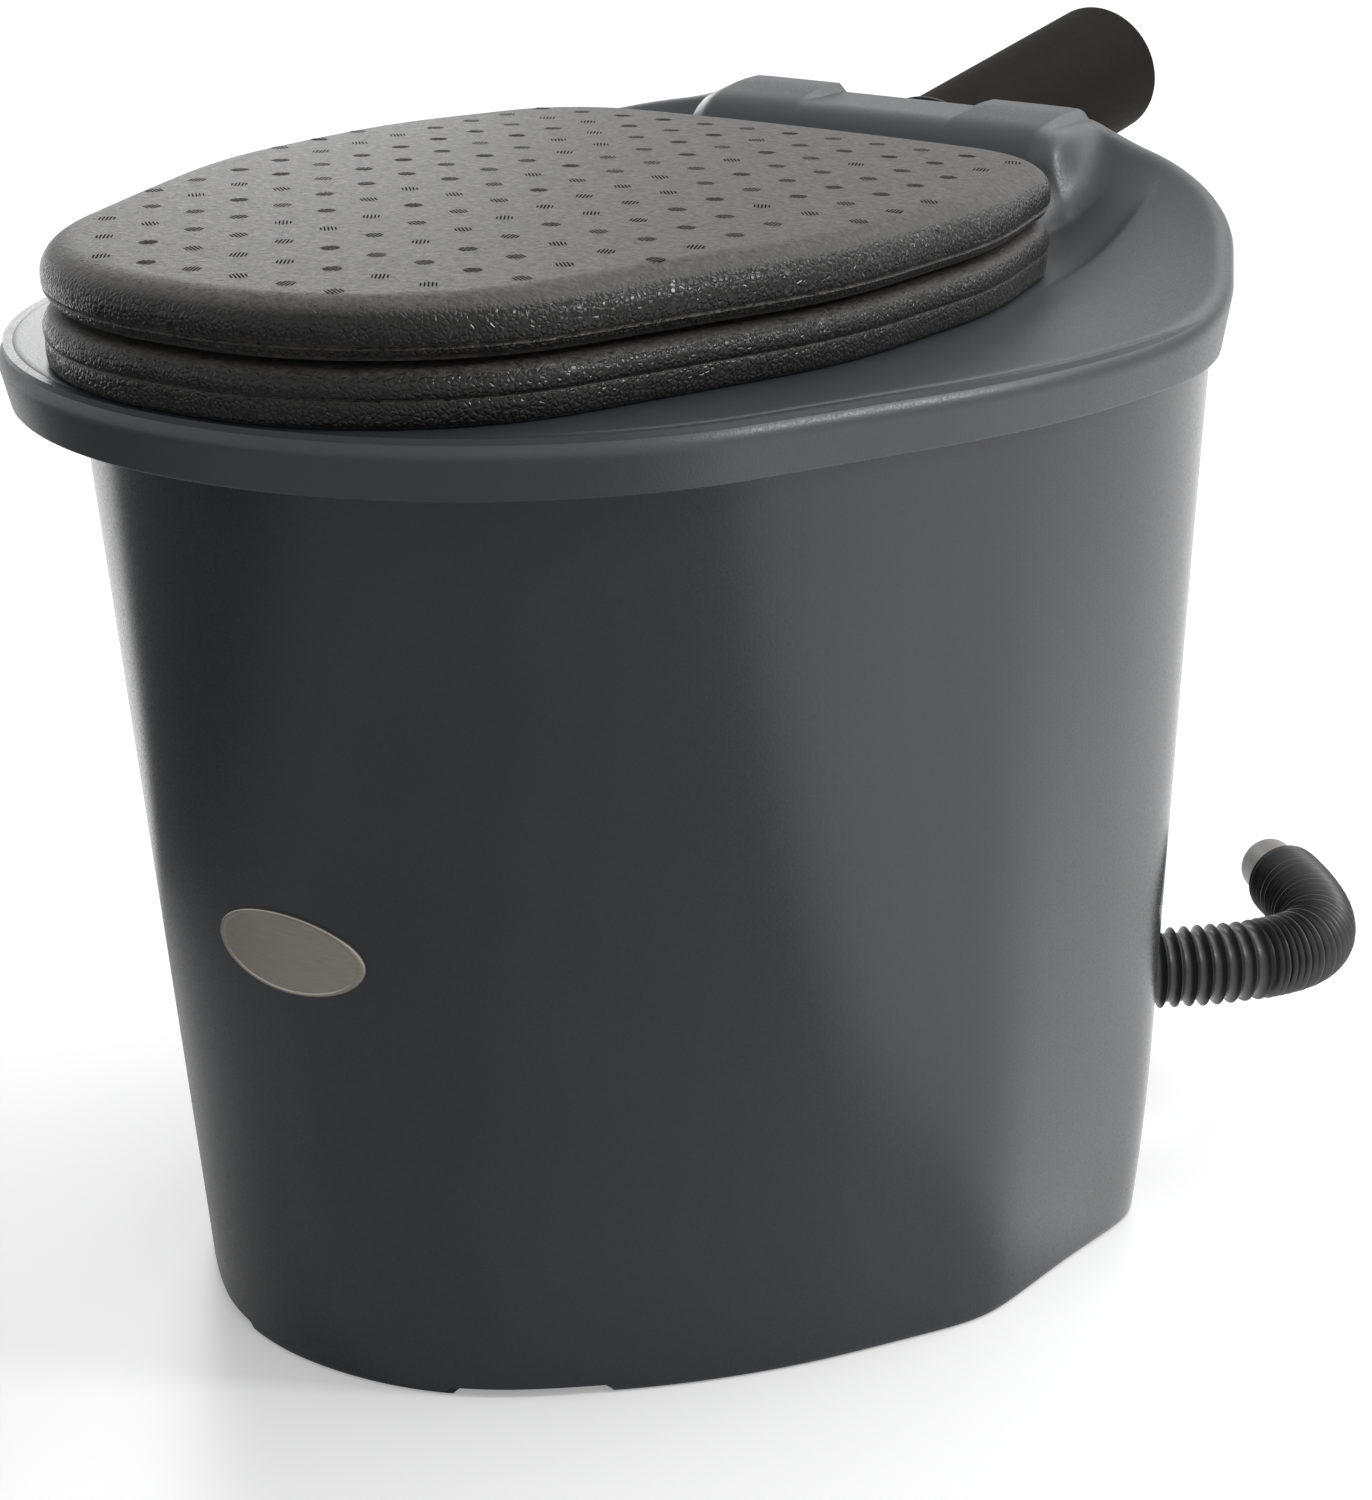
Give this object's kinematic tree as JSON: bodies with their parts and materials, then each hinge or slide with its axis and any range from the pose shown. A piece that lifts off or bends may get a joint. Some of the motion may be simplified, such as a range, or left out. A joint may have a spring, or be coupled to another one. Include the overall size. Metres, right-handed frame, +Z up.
{
  "type": "urine-diverting toilet",
  "caption": "Floor-standing dry toilet with a hinged foam lid, lift-off cover, inner bin, urine basin, ribbed drain hose and rear vent pipe.",
  "frame": {"origin": "on the floor under the middle of the container, at the centre of its floor pad", "axes": "+Z up, -Y the front where the user sits facing, +Y the back with the vent pipe, x = 0 the plane of symmetry of the body"},
  "size_m": [0.5538, 0.829, 0.5769],
  "materials": {
    "charcoal_polyethylene": "satin",
    "charcoal_cover_plastic": "matte",
    "bead_foam": "matte",
    "badge_metal": "satin",
    "black_hose_plastic": "satin",
    "warm_grey_cuff": "satin",
    "black_pipe_plastic": "satin",
    "black_fitting_plastic": "satin",
    "black_rubber": "matte",
    "seal_foam_rubber": "matte",
    "bin_plastic": "satin",
    "bowl_plastic": "satin",
    "grey_pipe_plastic": "satin",
    "clear_grey_hose": "satin",
    "stainless_band": "satin",
    "strainer_steel": "satin"
  },
  "bodies": {
    "container": {"outer_container": "charcoal_polyethylene", "badge_plate": "badge_metal", "solids_bin": "bin_plastic", "drain_standpipe": "grey_pipe_plastic", "inner_hose": "clear_grey_hose", "inner_hose_clamps": "stainless_band", "outlet_fitting": "black_fitting_plastic", "outlet_seal": "black_rubber", "outlet_nut": "black_fitting_plastic", "drain_hose": "black_hose_plastic", "hose_end_cuff": "warm_grey_cuff", "cover_seal": "seal_foam_rubber"},
    "cover": {"top_cover": "charcoal_cover_plastic", "vent_grommet": "black_rubber", "vent_pipe": "black_pipe_plastic", "separator_bowl": "bowl_plastic", "drop_sleeve": "bowl_plastic", "drain_tail": "grey_pipe_plastic", "drain_strainer": "strainer_steel", "drain_gasket": "black_rubber", "drain_nut": "grey_pipe_plastic"},
    "seat": {"seat_ring": "bead_foam", "seat_pegs": "black_fitting_plastic", "hinge_brackets": "black_fitting_plastic"},
    "lid": {"seat_lid": "bead_foam", "lid_hinge_pins": "strainer_steel"}
  },
  "joints": [
    {"name": "cover_lift", "type": "slide", "parent": "container", "child": "cover", "axis": [0, 0, 1], "range_m": [0, 0.3]},
    {"name": "seat_lift", "type": "slide", "parent": "cover", "child": "seat", "axis": [0, 0, 1], "range_m": [0, 0.06]},
    {"name": "lid_hinge", "type": "hinge", "parent": "seat", "child": "lid", "pos_m": [0, 0.142, 0.534], "axis": [-1, 0, 0], "range_deg": [0, 105]}
  ]
}
